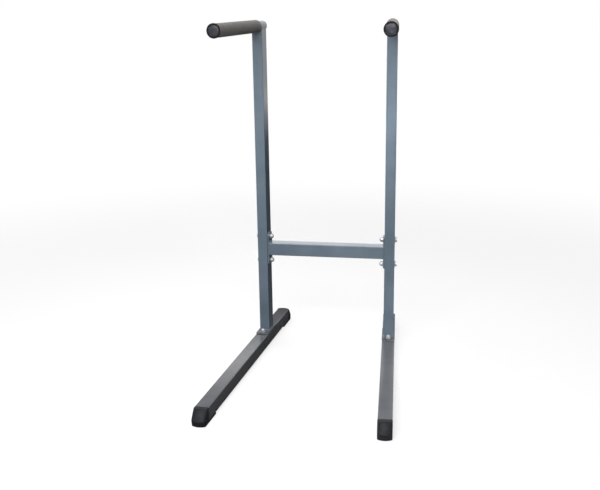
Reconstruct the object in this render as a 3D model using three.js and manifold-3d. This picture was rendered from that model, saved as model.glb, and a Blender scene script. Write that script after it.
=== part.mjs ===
// Dip station: two side frames that spread towards the front, joined by one bolted crossbar.
// Millimetres. +X to the right seen from the front, +Y to the rear, +Z up, origin on the floor
// in the middle of the space that the object covers.

import * as THREE from "three";
import { mergeVertices } from "three/addons/utils/BufferGeometryUtils.js";
import Module from "manifold-3d";

const wasm = await Module();
wasm.setup();

// Side frames
const upright_spacing = 510; // between the two upright centrelines
const splay = THREE.MathUtils.degToRad(4.2); // each side frame turns outwards this much

// Uprights, rectangular tube
const upright_width = 40;
const upright_depth = 60;
const upright_wall = 2;
const upright_corner = 3;

// Base rails, square tube
const rail_side = 50;
const rail_wall = 2;
const rail_corner = 3;
const rail_front_reach = 775; // from the upright's centre to the tube's front end
const rail_rear_reach = 250;

// Foot caps
const pad_height = 6; // the tube rides this high above the floor
const pad_tuck = 70; // how far the pad runs back under the tube
const cap_overhang = 0.5; // each side, wider than the tube
const toe_reach = 41; // from the tube's end to the crease, at the toe's sides
const toe_crease_height = 20; // below this the toe's front is nearly upright
const toe_base_reach = 37;
const toe_top_reach = 12;
const toe_bow = 8; // in plan, how far the middle of the toe's front stands out from its sides
const toe_bulge = 2; // from the crease up, how far the slanted front swells
const toe_corner = 5; // plan radius of the toe's two front corners
const toe_panel_width = 34;
const toe_panel_height = 32;
const toe_panel_corner = 5;
const toe_panel_depth = 1.5;
const pad_tail_corner = 3;
const spigot_length = 30;
const spigot_wall = 3;
const spigot_clearance = 0.5; // each side, inside the tube

// Base plates
const base_plate_width = 52;
const base_plate_length = 144;
const base_plate_thickness = 5;
const base_plate_corner = 9;
const base_bolt_offset = 52; // from the upright's centre, to the front and to the rear

// Handles, round tube
const handle_height = 1286; // of the tube's axis above the floor
const handle_diameter = 38;
const handle_wall = 2;
const handle_front_reach = 507;
const handle_rear_reach = 42;
const saddle_rise = 13; // how far the upright's top reaches up round the tube

// Foam grips
const grip_diameter = 48;
const grip_front_diameter = 50.4; // the foam's front end spreads a little
const grip_front_spread = 9; // length over which it spreads
const grip_front_overlap = 3; // the foam reaches past the tube's front end
const grip_rear_setback = 40; // from the upright's centre to the foam's rear end
const grip_front_edge = 1;
const grip_rear_edge = 4;

// Handle plugs
const plug_rim = 1.5;
const front_plug_dome = 2.5;
const rear_plug_dome = 4;
const plug_spigot_length = 22;
const plug_spigot_wall = 2.5;
const plug_clearance = 0.4; // each side, inside the tube

// Crossbar, square tube, and its end plates
const crossbar_height = 410; // of its axis above the floor
const crossbar_side = 50;
const crossbar_wall = 2;
const crossbar_corner = 3;
const end_plate_height = 130;
const end_plate_thickness = 5;
const end_plate_corner = 8;
const crossbar_bolt_spacing = 100;

// Fasteners
const bolt_diameter = 10;
const bolt_clearance = 0.5; // each side, in every hole
const bolt_tip_chamfer = 1;
const nut_flats = 17;
const nut_hex_height = 7;
const nut_dome_height = 5;
const nut_dome_radius = 7.6;
const nut_chamfer = 1;
const nut_bore_clearance = 0.3; // each side and at the bore's end
const nut_engagement = 9; // how far the bolt reaches into the nut
const hex_head_height = 6.4;
const round_head_diameter = 22;
const round_head_height = 4.5;
const square_neck_side = 10;
const square_neck_height = 2;
const washer_thickness = 2;
const washer_diameter = 22;
const wide_washer_diameter = 28;

// Fits
const seat_gap = 0.3; // between faces that meet
const overrun = 10; // every cutter passes this far beyond what it cuts

// Facets
const corner_steps = 2;
const toe_steps = 6; // along each curve of the toe's front and up its slant
const round_steps = 24;
const bolt_steps = 12;
const washer_steps = 8;
const dome_steps = 3;

// Levels that follow from the sizes above
const rail_bottom = pad_height + seat_gap;
const rail_top = rail_bottom + rail_side;
const base_plate_bottom = rail_top + seat_gap;
const base_plate_top = base_plate_bottom + base_plate_thickness;
const upright_foot = base_plate_top + seat_gap;
const saddle_top = handle_height - handle_diameter / 2 + saddle_rise;
const end_plate_inner = upright_width / 2 + seat_gap + end_plate_thickness;
const grip_front = handle_front_reach + grip_front_overlap;

// Colours and finishes
function finish(color, roughness, metalness) {
  return () => new THREE.MeshStandardMaterial({ color, roughness, metalness });
}
const frame_paint = finish(0x64707d, 0.35, 0.1);
const rail_paint = finish(0x55585c, 0.35, 0.1);
const black_plastic = finish(0x232427, 0.6, 0);
const foam = finish(0x4a4744, 0.9, 0);
const zinc = finish(0xc4c8cd, 0.25, 1);

// A closed three.js geometry becomes a solid that can be joined and cut
function solid(geometry) {
  const bare = geometry.index ? geometry.toNonIndexed() : geometry.clone();
  bare.deleteAttribute("normal");
  bare.deleteAttribute("uv");
  const merged = mergeVertices(bare);
  const corners = [];
  for (let i = 0; i < merged.index.count; i += 3) {
    const a = merged.index.getX(i);
    const b = merged.index.getX(i + 1);
    const c = merged.index.getX(i + 2);
    if (a !== b && b !== c && c !== a) corners.push(a, b, c);
  }
  return new wasm.Manifold(new wasm.Mesh({
    numProp: 3,
    vertProperties: new Float32Array(merged.attributes.position.array),
    triVerts: new Uint32Array(corners),
  }));
}

// The way back, for a finished solid
function surface(body) {
  const mesh = body.getMesh();
  const geometry = new THREE.BufferGeometry();
  geometry.setAttribute("position", new THREE.BufferAttribute(mesh.vertProperties, 3));
  geometry.setIndex(new THREE.BufferAttribute(mesh.triVerts, 1));
  geometry.computeVertexNormals();
  return geometry;
}

function piece(name, body, material) {
  const mesh = new THREE.Mesh(surface(body), material());
  mesh.name = name;
  return mesh;
}

// A rectangle with round corners, centred on the origin
function roundedRectangle(width, height, radius, path = new THREE.Shape()) {
  const x = width / 2 - radius;
  const y = height / 2 - radius;
  const quarter = Math.PI / 2;
  path.moveTo(x + radius, -y);
  path.absarc(x, y, radius, 0, quarter);
  path.absarc(-x, y, radius, quarter, 2 * quarter);
  path.absarc(-x, -y, radius, 2 * quarter, 3 * quarter);
  path.absarc(x, -y, radius, 3 * quarter, 4 * quarter);
  return path;
}

// Extrudes a shape along +Z from the XY plane
function extruded(shape, depth) {
  return new THREE.ExtrudeGeometry(shape, { depth, bevelEnabled: false, curveSegments: corner_steps });
}

// A rectangular tube along +Z
function rectangularTube(width, depth, wall, corner, length) {
  const section = roundedRectangle(width, depth, corner);
  const bore = roundedRectangle(width - 2 * wall, depth - 2 * wall, corner - wall, new THREE.Path());
  section.holes.push(bore);
  return extruded(section, length);
}

// A round bar along Z from bottom to top
function roundBar(diameter, bottom, top, steps) {
  const bar = new THREE.CylinderGeometry(diameter / 2, diameter / 2, top - bottom, steps);
  return bar.rotateX(Math.PI / 2).translate(0, 0, (bottom + top) / 2);
}

// A body turned about Z; each point of the profile is a radius and a level
function turned(profile, steps) {
  const points = profile.map(([radius, level]) => new THREE.Vector2(radius, level));
  return new THREE.LatheGeometry(points, steps).rotateX(Math.PI / 2);
}

// Points of a quarter ellipse from the rim at the given level up to the axis
function dome(radius, level, height) {
  const points = [];
  for (let i = 0; i <= dome_steps; i += 1) {
    const angle = (i / dome_steps) * (Math.PI / 2);
    const reach = i === dome_steps ? 0 : radius * Math.cos(angle);
    points.push([reach, level + height * Math.sin(angle)]);
  }
  return points;
}

// A cutter for a bolt hole along Z between two levels
function boltHole(bottom, top) {
  const diameter = bolt_diameter + 2 * bolt_clearance;
  return roundBar(diameter, bottom - overrun, top + overrun, bolt_steps);
}

// A hexagonal prism from the seat at zero up to the height, with its top corners turned down
function chamferedHex(flats, height) {
  const corner_radius = flats / Math.sqrt(3);
  const prism = new THREE.CylinderGeometry(corner_radius, corner_radius, height, 6);
  prism.rotateX(Math.PI / 2).translate(0, 0, height / 2);
  const turned_down = turned([
    [0, 0],
    [corner_radius, 0],
    [corner_radius, height - nut_chamfer],
    [flats / 2, height],
    [0, height],
  ], bolt_steps);
  return solid(prism).intersect(solid(turned_down));
}

// Fasteners stand on their seat at zero, and +Z points from the head to the nut
function shank(bottom, length) {
  const radius = bolt_diameter / 2;
  return solid(turned([
    [0, bottom],
    [radius, bottom],
    [radius, length - bolt_tip_chamfer],
    [radius - bolt_tip_chamfer, length],
    [0, length],
  ], bolt_steps));
}

function hexBolt(length) {
  const head = chamferedHex(nut_flats, hex_head_height);
  return head.mirror([0, 0, 1]).add(shank(-hex_head_height / 2, length));
}

function roundHeadBolt(length) {
  const head_radius = round_head_diameter / 2;
  const profile = [[0, 0], [head_radius, 0], ...dome(head_radius, 0, round_head_height).slice(1)];
  const head = solid(turned(profile, bolt_steps)).mirror([0, 0, 1]);
  const neck = new THREE.BoxGeometry(square_neck_side, square_neck_side, 2 * square_neck_height);
  return head.add(solid(neck)).add(shank(-round_head_height / 2, length));
}

function acornNut() {
  const domed_top = nut_hex_height + nut_dome_height;
  const dome_profile = [[0, nut_hex_height / 2], [nut_dome_radius, nut_hex_height / 2]];
  const cap = turned([...dome_profile, ...dome(nut_dome_radius, nut_hex_height, nut_dome_height)], bolt_steps);
  const bore_end = Math.min(nut_engagement + nut_bore_clearance, domed_top - nut_chamfer);
  const bore = roundBar(bolt_diameter + 2 * nut_bore_clearance, -overrun, bore_end, bolt_steps);
  return chamferedHex(nut_flats, nut_hex_height).add(solid(cap)).subtract(solid(bore));
}

function washer(diameter) {
  const ring = new THREE.Shape().absarc(0, 0, diameter / 2, 0, 2 * Math.PI);
  const hole_radius = bolt_diameter / 2 + bolt_clearance;
  ring.holes.push(new THREE.Path().absarc(0, 0, hole_radius, 0, 2 * Math.PI));
  const options = { depth: washer_thickness, bevelEnabled: false, curveSegments: washer_steps };
  return solid(new THREE.ExtrudeGeometry(ring, options));
}

// Base rail along Y, with holes for the two base bolts
function baseRail() {
  const length = rail_front_reach + rail_rear_reach;
  const tube = rectangularTube(rail_side, rail_side, rail_wall, rail_corner, length);
  tube.rotateX(-Math.PI / 2).translate(0, -rail_front_reach, rail_bottom + rail_side / 2);
  let body = solid(tube);
  for (const y of [-base_bolt_offset, base_bolt_offset]) {
    const top_hole = boltHole(rail_bottom + rail_side / 2, rail_top).translate(0, y, 0);
    const neck_hole_side = square_neck_side + 2 * bolt_clearance;
    const neck_hole = new THREE.BoxGeometry(neck_hole_side, neck_hole_side, rail_side);
    neck_hole.translate(0, y, rail_bottom);
    body = body.subtract(solid(top_hole)).subtract(solid(neck_hole));
  }
  return body;
}

// How far the toe's front leans out below its crease, and back above it, for each unit of height
const toe_rise = rail_top - toe_crease_height;
const toe_base_lean = (toe_reach - toe_base_reach) / toe_crease_height;
const toe_top_lean = (toe_reach - toe_top_reach) / toe_rise;

// Side view of a foot cap's pad and toe: x is the reach beyond the tube's end, y the height
function footCapOutline() {
  const front = toe_reach + toe_bow + overrun;
  const outline = new THREE.Shape();
  outline.moveTo(-pad_tuck, 0);
  outline.lineTo(front, 0);
  outline.lineTo(front, rail_top);
  outline.lineTo(seat_gap, rail_top);
  outline.lineTo(seat_gap, pad_height);
  outline.lineTo(-pad_tuck, pad_height);
  outline.closePath();
  return outline;
}

// Plan view of a foot cap without its front: slightly round tail corners
function footCapPlan() {
  const half = rail_side / 2 + cap_overhang;
  const front = toe_reach + toe_bow + overrun;
  const plan = new THREE.Shape();
  plan.moveTo(-pad_tuck, -half + pad_tail_corner);
  plan.quadraticCurveTo(-pad_tuck, -half, -pad_tuck + pad_tail_corner, -half);
  plan.lineTo(front, -half);
  plan.lineTo(front, half);
  plan.lineTo(-pad_tuck + pad_tail_corner, half);
  plan.quadraticCurveTo(-pad_tuck, half, -pad_tuck, half - pad_tail_corner);
  plan.closePath();
  return plan;
}

// Plan view of the toe's front at zero reach: bowed, with round corners, and long to the rear
function toeFrontPlan() {
  const half = rail_side / 2 + cap_overhang;
  const tail = pad_tuck + toe_reach + overrun;
  const side = half - toe_corner;
  const corner_bow = toe_bow * (1 - (side / half) ** 2);
  const plan = new THREE.Shape();
  plan.moveTo(-tail, -half);
  plan.lineTo(-toe_corner, -half);
  plan.quadraticCurveTo(0, -half, corner_bow, -side);
  plan.quadraticCurveTo(2 * toe_bow - corner_bow, 0, corner_bow, side);
  plan.quadraticCurveTo(0, half, -toe_corner, half);
  plan.lineTo(-tail, half);
  plan.closePath();
  return plan;
}

// Heights of the toe's front and its reach at each of them, with an overrun at both ends
function toeLevels() {
  const levels = [{ height: -overrun, reach: toe_base_reach - overrun * toe_base_lean }];
  for (let i = 0; i <= toe_steps; i += 1) {
    const share = i / toe_steps;
    const swell = 4 * toe_bulge * share * (1 - share);
    const height = toe_rise * share;
    levels.push({ height: toe_crease_height + height, reach: toe_reach - height * toe_top_lean + swell });
  }
  levels.push({ height: rail_top + overrun, reach: toe_top_reach - overrun * toe_top_lean });
  return levels;
}

// The body behind the toe's front: each layer of the plan goes to its own height and reach
function toeFront() {
  const levels = toeLevels();
  const steps = levels.length - 1;
  const options = { depth: steps, steps, bevelEnabled: false, curveSegments: toe_steps };
  const body = new THREE.ExtrudeGeometry(toeFrontPlan(), options);
  const corners = body.attributes.position;
  for (let i = 0; i < corners.count; i += 1) {
    const level = levels[Math.round(corners.getZ(i))];
    corners.setX(i, corners.getX(i) + level.reach);
    corners.setZ(i, level.height);
  }
  return solid(body);
}

// The shallow panel sunk into the toe's slanted front, its floor parallel to that front
function footCapPanel() {
  const tilt = Math.atan(1 / toe_top_lean);
  const depth = toe_bow + toe_bulge + overrun;
  const panel = extruded(roundedRectangle(toe_panel_height, toe_panel_width, toe_panel_corner), depth);
  panel.translate(0, 0, -toe_panel_depth).rotateY(tilt);
  panel.translate((toe_reach + toe_top_reach) / 2, 0, (toe_crease_height + rail_top) / 2);
  const inward = [-toe_panel_depth * Math.sin(tilt), 0, -toe_panel_depth * Math.cos(tilt)];
  return solid(panel).subtract(toeFront().translate(inward));
}

// The hollow spigot that holds the cap in the tube
function footCapSpigot() {
  const side = rail_side - 2 * rail_wall - 2 * spigot_clearance;
  const corner = rail_corner - rail_wall;
  const tube = rectangularTube(side, side, spigot_wall, Math.max(corner, spigot_wall + seat_gap),
    spigot_length + toe_top_reach / 2);
  return tube.rotateY(Math.PI / 2).translate(-spigot_length, 0, rail_bottom + rail_side / 2);
}

// A foot cap whose toe points along +X, with the tube's end at x = 0
function footCap() {
  const side_view = extruded(footCapOutline(), 2 * rail_side);
  side_view.rotateX(Math.PI / 2).translate(0, rail_side, 0);
  const plan_view = extruded(footCapPlan(), rail_top);
  const toe = solid(side_view).intersect(solid(plan_view)).intersect(toeFront());
  return toe.subtract(footCapPanel()).add(solid(footCapSpigot()));
}

function basePlate() {
  const outline = roundedRectangle(base_plate_width, base_plate_length, base_plate_corner);
  let body = solid(extruded(outline, base_plate_thickness).translate(0, 0, base_plate_bottom));
  for (const y of [-base_bolt_offset, base_bolt_offset]) {
    body = body.subtract(solid(boltHole(base_plate_bottom, base_plate_top).translate(0, y, 0)));
  }
  return body;
}

// Levels of the two bolts that hold each end of the crossbar
const crossbar_bolt_levels = {
  upper: crossbar_height + crossbar_bolt_spacing / 2,
  lower: crossbar_height - crossbar_bolt_spacing / 2,
};

// A hole along X through the upright or an end plate
function crossbarBoltHole(level) {
  const half_run = end_plate_inner + overrun;
  return boltHole(-half_run, half_run).rotateY(Math.PI / 2).translate(0, 0, level);
}

// Upright with a saddle cut at its top and four holes in its sides
function upright() {
  const length = saddle_top - upright_foot;
  const tube = rectangularTube(upright_width, upright_depth, upright_wall, upright_corner, length);
  let body = solid(tube.translate(0, 0, upright_foot));
  const saddle = roundBar(handle_diameter + 2 * seat_gap, -upright_depth, upright_depth, round_steps);
  body = body.subtract(solid(saddle.rotateX(Math.PI / 2).translate(0, 0, handle_height)));
  for (const level of Object.values(crossbar_bolt_levels)) {
    body = body.subtract(solid(crossbarBoltHole(level)));
  }
  return body;
}

// Bodies along a handle are turned about Z and then laid along Y, with +Z to the front
function laidAlongHandle(body) {
  return body.rotate([90, 0, 0]).translate([0, 0, handle_height]);
}

function handleTube() {
  const outer = handle_diameter / 2;
  const inner = outer - handle_wall;
  return laidAlongHandle(solid(turned([
    [inner, -handle_rear_reach],
    [outer, -handle_rear_reach],
    [outer, handle_front_reach],
    [inner, handle_front_reach],
    [inner, -handle_rear_reach],
  ], round_steps)));
}

function handleGrip() {
  const outer = grip_diameter / 2;
  const front_outer = grip_front_diameter / 2;
  const inner = handle_diameter / 2 + seat_gap;
  const rear_edge_middle = grip_rear_edge * (1 - Math.SQRT1_2);
  return laidAlongHandle(solid(turned([
    [inner, grip_rear_setback],
    [outer - grip_rear_edge, grip_rear_setback],
    [outer - rear_edge_middle, grip_rear_setback + rear_edge_middle],
    [outer, grip_rear_setback + grip_rear_edge],
    [outer, grip_front - grip_front_spread],
    [front_outer, grip_front - grip_front_edge],
    [front_outer - grip_front_edge, grip_front],
    [inner, grip_front],
    [inner, grip_rear_setback],
  ], round_steps)));
}

// A plug with its flange seated at zero, its dome above and its hollow spigot below
function handlePlug(dome_height) {
  const flange = handle_diameter / 2;
  const spigot = flange - handle_wall - plug_clearance;
  const bore = spigot - plug_spigot_wall;
  return solid(turned([
    [0, 0],
    [bore, 0],
    [bore, -plug_spigot_length],
    [spigot, -plug_spigot_length],
    [spigot, 0],
    [flange, 0],
    [flange, plug_rim],
    ...dome(flange, plug_rim, dome_height).slice(1),
  ], round_steps));
}

function frontHandlePlug() {
  const seated = handlePlug(front_plug_dome).translate([0, 0, handle_front_reach + seat_gap]);
  return laidAlongHandle(seated);
}

function rearHandlePlug() {
  const seated = handlePlug(rear_plug_dome).translate([0, 0, handle_rear_reach + seat_gap]);
  return laidAlongHandle(seated.rotate([180, 0, 0]));
}

// An end plate that lies on the inner side of the upright of the side at +X
function endPlate() {
  const outline = roundedRectangle(end_plate_height, crossbar_side, end_plate_corner);
  const plate = extruded(outline, end_plate_thickness).rotateY(Math.PI / 2);
  let body = solid(plate.translate(-end_plate_inner, 0, crossbar_height));
  for (const level of Object.values(crossbar_bolt_levels)) {
    body = body.subtract(solid(crossbarBoltHole(level)));
  }
  return body;
}

// Places a side frame: side is 1 for the right frame and -1 for the left one
function placeSideFrame(object, side) {
  object.position.set(side * upright_spacing / 2, 0, 0);
  object.rotation.z = side * splay;
  object.updateMatrix();
  return object;
}

// Crossbar along X, its ends cut parallel to the end plates
function crossbar() {
  const tube = rectangularTube(crossbar_side, crossbar_side, crossbar_wall, crossbar_corner, upright_spacing);
  const y = -end_plate_inner * Math.sin(splay);
  tube.rotateY(Math.PI / 2).translate(-upright_spacing / 2, y, crossbar_height);
  let body = solid(tube);
  for (const side of [-1, 1]) {
    const reach = end_plate_inner + seat_gap;
    const cutter = new THREE.BoxGeometry(2 * reach, 2 * crossbar_side, 2 * crossbar_side);
    cutter.translate(0, 0, crossbar_height);
    cutter.applyMatrix4(placeSideFrame(new THREE.Object3D(), side).matrix);
    body = body.subtract(solid(cutter));
  }
  return body;
}

// Bolt, washer and acorn nut that hold a base plate to its rail, from below
function addBaseBolts(frame, side_name) {
  const nut_seat = base_plate_top + 2 * seat_gap + washer_thickness;
  const length = nut_seat + nut_engagement - rail_bottom;
  for (const [place, y] of [["front", -base_bolt_offset], ["rear", base_bolt_offset]]) {
    const bolt = piece(`${side_name}_base_bolt_${place}`, roundHeadBolt(length), zinc);
    bolt.position.set(0, y, rail_bottom - seat_gap);
    const ring = piece(`${side_name}_base_washer_${place}`, washer(washer_diameter), zinc);
    ring.position.set(0, y, base_plate_top + seat_gap);
    const nut = piece(`${side_name}_base_acorn_nut_${place}`, acornNut(), zinc);
    nut.position.set(0, y, nut_seat);
    frame.add(bolt, ring, nut);
  }
}

// Bolt, two washers and acorn nut that hold one end of the crossbar; the head is outside
function addCrossbarBolts(frame, side, side_name) {
  const outer_washer_seat = upright_width / 2 + seat_gap;
  const head_seat = outer_washer_seat + washer_thickness + seat_gap;
  const inner_washer_seat = end_plate_inner + seat_gap;
  const nut_seat = inner_washer_seat + washer_thickness + seat_gap;
  for (const [place, level] of Object.entries(crossbar_bolt_levels)) {
    const fastener = (name, body, reach) => {
      const mesh = piece(`${side_name}_crossbar_${name}_${place}`, body, zinc);
      mesh.rotation.y = -side * Math.PI / 2;
      mesh.position.set(side * reach, 0, level);
      frame.add(mesh);
    };
    fastener("bolt", hexBolt(head_seat + nut_seat + nut_engagement), head_seat);
    fastener("outer_washer", washer(wide_washer_diameter), outer_washer_seat + washer_thickness);
    fastener("inner_washer", washer(washer_diameter), -inner_washer_seat);
    fastener("acorn_nut", acornNut(), -nut_seat);
  }
}

// One side frame, modelled with its outer side at +X times side and its front at -Y
function sideFrame(side, side_name) {
  const frame = new THREE.Group();
  const front_cap = piece(`${side_name}_front_foot_cap`, footCap(), black_plastic);
  front_cap.rotation.z = -Math.PI / 2;
  front_cap.position.y = -rail_front_reach;
  const rear_cap = piece(`${side_name}_rear_foot_cap`, footCap(), black_plastic);
  rear_cap.rotation.z = Math.PI / 2;
  rear_cap.position.y = rail_rear_reach;
  const plate = piece(`${side_name}_crossbar_end_plate`, endPlate(), frame_paint);
  plate.rotation.z = side === 1 ? 0 : Math.PI;
  frame.add(
    piece(`${side_name}_base_rail`, baseRail(), rail_paint),
    front_cap,
    rear_cap,
    piece(`${side_name}_base_plate`, basePlate(), rail_paint),
    piece(`${side_name}_upright`, upright(), frame_paint),
    piece(`${side_name}_handle_tube`, handleTube(), frame_paint),
    piece(`${side_name}_handle_grip`, handleGrip(), foam),
    piece(`${side_name}_handle_front_plug`, frontHandlePlug(), black_plastic),
    piece(`${side_name}_handle_rear_plug`, rearHandlePlug(), black_plastic),
    plate,
  );
  addBaseBolts(frame, side_name);
  addCrossbarBolts(frame, side, side_name);
  return placeSideFrame(frame, side);
}

const dip_station = new THREE.Group();
dip_station.name = "dip_station";
dip_station.add(sideFrame(-1, "left"), sideFrame(1, "right"), piece("crossbar", crossbar(), frame_paint));

// The origin lies in the middle of the base's length
const base_box = new THREE.Box3().setFromObject(dip_station, true);
dip_station.position.y = -(base_box.min.y + base_box.max.y) / 2;

export default dip_station;
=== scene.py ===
import math

import bmesh
import bpy
from mathutils import Matrix, Vector, noise


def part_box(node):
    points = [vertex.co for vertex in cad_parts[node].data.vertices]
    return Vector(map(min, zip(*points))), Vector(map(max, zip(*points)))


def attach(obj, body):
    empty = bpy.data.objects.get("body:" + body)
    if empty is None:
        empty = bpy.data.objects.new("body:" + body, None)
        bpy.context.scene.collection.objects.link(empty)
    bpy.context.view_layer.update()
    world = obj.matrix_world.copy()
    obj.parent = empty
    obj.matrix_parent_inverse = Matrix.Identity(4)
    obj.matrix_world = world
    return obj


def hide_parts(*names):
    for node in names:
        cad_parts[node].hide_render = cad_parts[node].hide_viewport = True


# Dip station: two painted side frames joined by one bolted crossbar. Metres, +Z up.

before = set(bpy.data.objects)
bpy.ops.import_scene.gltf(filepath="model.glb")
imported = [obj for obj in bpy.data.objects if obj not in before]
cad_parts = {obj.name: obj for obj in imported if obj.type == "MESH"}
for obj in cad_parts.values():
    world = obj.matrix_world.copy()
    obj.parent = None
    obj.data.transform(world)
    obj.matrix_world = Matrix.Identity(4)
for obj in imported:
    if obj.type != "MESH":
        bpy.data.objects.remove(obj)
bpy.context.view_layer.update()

MM = 0.001

SIDES = {"left": -1, "right": 1}

# The photograph and the place that it was taken from
PHOTO_WIDTH = 600
PHOTO_HEIGHT = 490
FOCAL_PIXELS = 899.21
OPTICAL_CENTRE = (295.63, 262.60)
CAMERA_PLACE = (0.5396, -3.1993, 1.3804)
CAMERA_YAW = math.radians(-10.903)
CAMERA_PITCH = math.radians(16.297)
CAMERA_ROLL = math.radians(-0.928)
SENSOR_WIDTH = 36

# Steel tubes and plates
TUBE_WALL = 2 * MM
UPRIGHT_CORNER = 3 * MM
RAIL_CORNER = 3 * MM
CROSSBAR_CORNER = 3 * MM
BASE_PLATE_CORNER = 9 * MM
END_PLATE_CORNER = 8 * MM
PLATE_EDGE = 0.7 * MM
SEAT_GAP = 0.3 * MM

# Welds
WELD_RADIUS = 2.6 * MM
WELD_RIPPLE = 0.3 * MM
WELD_PITCH = 3.2 * MM
WELD_STEP = 0.9 * MM
WELD_SIDES = 10

# Foot caps: the toe leans back above a crease and holds a shallow panel
CREASE_HEIGHT = 20 * MM
CREASE_BLEND = 2 * MM
TOE_BASE_REACH = 37 * MM
TOE_TOP_REACH = 12 * MM
TOE_BOW = 8 * MM
TOE_BULGE = 2 * MM
TOE_CORNER = 5 * MM
TOE_TOP_EDGE = 1.5 * MM
TOE_BOTTOM_EDGE = 1.5 * MM
PAD_TAIL_CORNER = 3 * MM
PANEL_WIDTH = 34 * MM
PANEL_HEIGHT = 32 * MM
PANEL_CORNER = 5 * MM
PANEL_DEPTH = 1.5 * MM
PANEL_WALL = 1.2 * MM
SPIGOT_LENGTH = 30 * MM
SPIGOT_WALL = 3 * MM
SPIGOT_CLEARANCE = 0.5 * MM

# Foam grips. The swell's scale is in waves per metre. A face belongs to a cut end if its normal points along
# the handle by more than the last value.
GRIP_FRONT_EDGE = 1 * MM
GRIP_REAR_EDGE = 4 * MM
GRIP_SPREAD = 1.2 * MM
GRIP_SPREAD_LENGTH = 9 * MM
GRIP_SWELL = 0.25 * MM
GRIP_SWELL_SCALE = 35
# The faces it picks take the darker cut foam: painted shade in its tone, besides the cut's real lack of
# sheen.
CUT_FACE_LEAN = 0.75

# Handle plugs
PLUG_RIM = 1.5 * MM
PLUG_EDGE = 0.8 * MM
PLUG_SPIGOT_WALL = 2.5 * MM
PLUG_CLEARANCE = 0.4 * MM

# Fasteners
BOLT_RADIUS = 5 * MM
BOLT_CLEARANCE = 0.5 * MM
BOLT_TIP_CHAMFER = 1 * MM
HOLE_RADIUS = BOLT_RADIUS + BOLT_CLEARANCE
NUT_FLATS = 17 * MM
NUT_HEX_HEIGHT = 7 * MM
NUT_DOME_RADIUS = 7.6 * MM
NUT_CHAMFER = 0.9 * MM
NUT_BORE_DEPTH = 9.3 * MM
NUT_BORE_RADIUS = 5.3 * MM
HEX_HEAD_HEIGHT = 6.4 * MM
ROUND_HEAD_RADIUS = 11 * MM
ROUND_HEAD_HEIGHT = 4.5 * MM
SQUARE_NECK_SIDE = 10 * MM
SQUARE_NECK_HEIGHT = 2 * MM
WASHER_EDGE = 0.25 * MM

# How finely curves are divided. The saddle's steps are an odd number, so that no edge of the upright's mesh
# runs through the top of a bolt hole.
CORNER_STEPS = 8
SADDLE_STEPS = 15
ROUND_STEPS = 96
FASTENER_STEPS = 72
DOME_STEPS = 10
TOE_EDGE_STEPS = 6
TOE_CROWN_STEPS = 12
TOE_STEP = 0.7 * MM
TOE_BASE_STEP = 2.1 * MM
GRIP_STEP = 4 * MM
SHARP_ANGLE = math.radians(32)
MERGE_DISTANCE = 0.002 * MM

# The sRGB curve: a straight start up to the knee, then a power
SRGB_KNEE = 0.04045
SRGB_SLOPE = 12.92
SRGB_OFFSET = 0.055
SRGB_POWER = 2.4

# Finishes. A noise is its waves per metre and its layers of detail. A span is where on the noise the dark
# tone ends and where the light one begins.
PAINT_CLOUD = (9, 3)
PAINT_SPAN = (0.3, 0.7)
PAINT_WANDER = (40, 2)
PAINT_PEEL = (420, 2)
PAINT_PEEL_DEPTH = 0.05 * MM
PLASTIC_CLOUD = (60, 3)
PLASTIC_SPAN = (0.35, 0.7)
PLASTIC_WANDER = (90, 2)
PLASTIC_GRAIN = (1600, 3)
PLASTIC_GRAIN_DEPTH = 0.08 * MM
FOAM_MOTTLE = (260, 4)
FOAM_SPAN = (0.35, 0.68)
FOAM_PITS_PER_METRE = 900
FOAM_PIT_DEPTH = 0.18 * MM
FOAM_SKIN = (500, 4)
FOAM_SKIN_DEPTH = 0.25 * MM
FOAM_ROUGHNESS = 0.72
FOAM_SHEEN_ROUGHNESS = 0.35
FOAM_SHEEN_TINT = "d8d4cc"
ZINC_CLOUD = (220, 3)
ZINC_SPAN = (0.3, 0.7)
ZINC_WANDER = (500, 3)
ZINC_GRAIN = (1500, 2)
ZINC_GRAIN_DEPTH = 0.02 * MM

# Studio. The floor fades to white over a range of distances. The ambient light falls off to the right.
FLOOR_HALF = 12
FLOOR_DROP = 0.5 * MM
FLOOR_TONE = 0.27
FLOOR_FADE = (1.3, 4)
AMBIENT_LEFT = 0.6
AMBIENT_RIGHT = 0
AMBIENT_SPAN = (-1, 0.4)
STAGE_ROUGHNESS = 0.9
STAGE_SEGMENTS = 4
CARD_LIFT = 2 * MM
REAR_CARD_Y = 1.65

# Softboxes: place, target, width, height, power, spread in degrees, whether the camera sees it. The two with
# a narrow spread light the right side frame alone. The strip stands behind the left one.
SOFTBOXES = {
    "overhead": ((-0.6, 0.3, 3), (-0.1, 0.1, 0.3), 1.6, 2.4, 52, 180, True),
    "front_top": ((-0.05, -2.3, 2.15), (0, 0, 0.9), 1.8, 0.9, 83, 180, True),
    "right_grid": ((1.2, -1.8, 1.9), (0.255, 0, 1.02), 0.4, 0.4, 0.4, 12, True),
    "foot_grid": ((1.1, -1.7, 1.7), (0.28, 0.1, 0.1), 0.4, 0.4, 0.25, 12, True),
    "rear_strip": ((-0.5, 1.6, 0.78), (-0.3, 0, 0.6), 1.5, 0.26, 1.3, 180, False),
}

# Dark cards on the floor, seen only in gloss as painted dark reflections: range across, range to the rear,
# tone
FLOOR_GLOSS_SHADE_CARDS = {
    "floor_card_outside": ((-1.2, -0.33), (-0.58, 0.05), 0.08),
    "floor_card_inside": ((-0.33, -0.12), (-0.58, 0.3), 0.08),
    "floor_card_rear": ((-0.33, 3.6), (0.3, 8), 0.08),
    "floor_card_left": ((-1.8, -0.45), (-2.3, -0.8), 0.05),
    "floor_card_right": ((0.1, 1.2), (-2.3, -0.62), 0.05),
}
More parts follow.
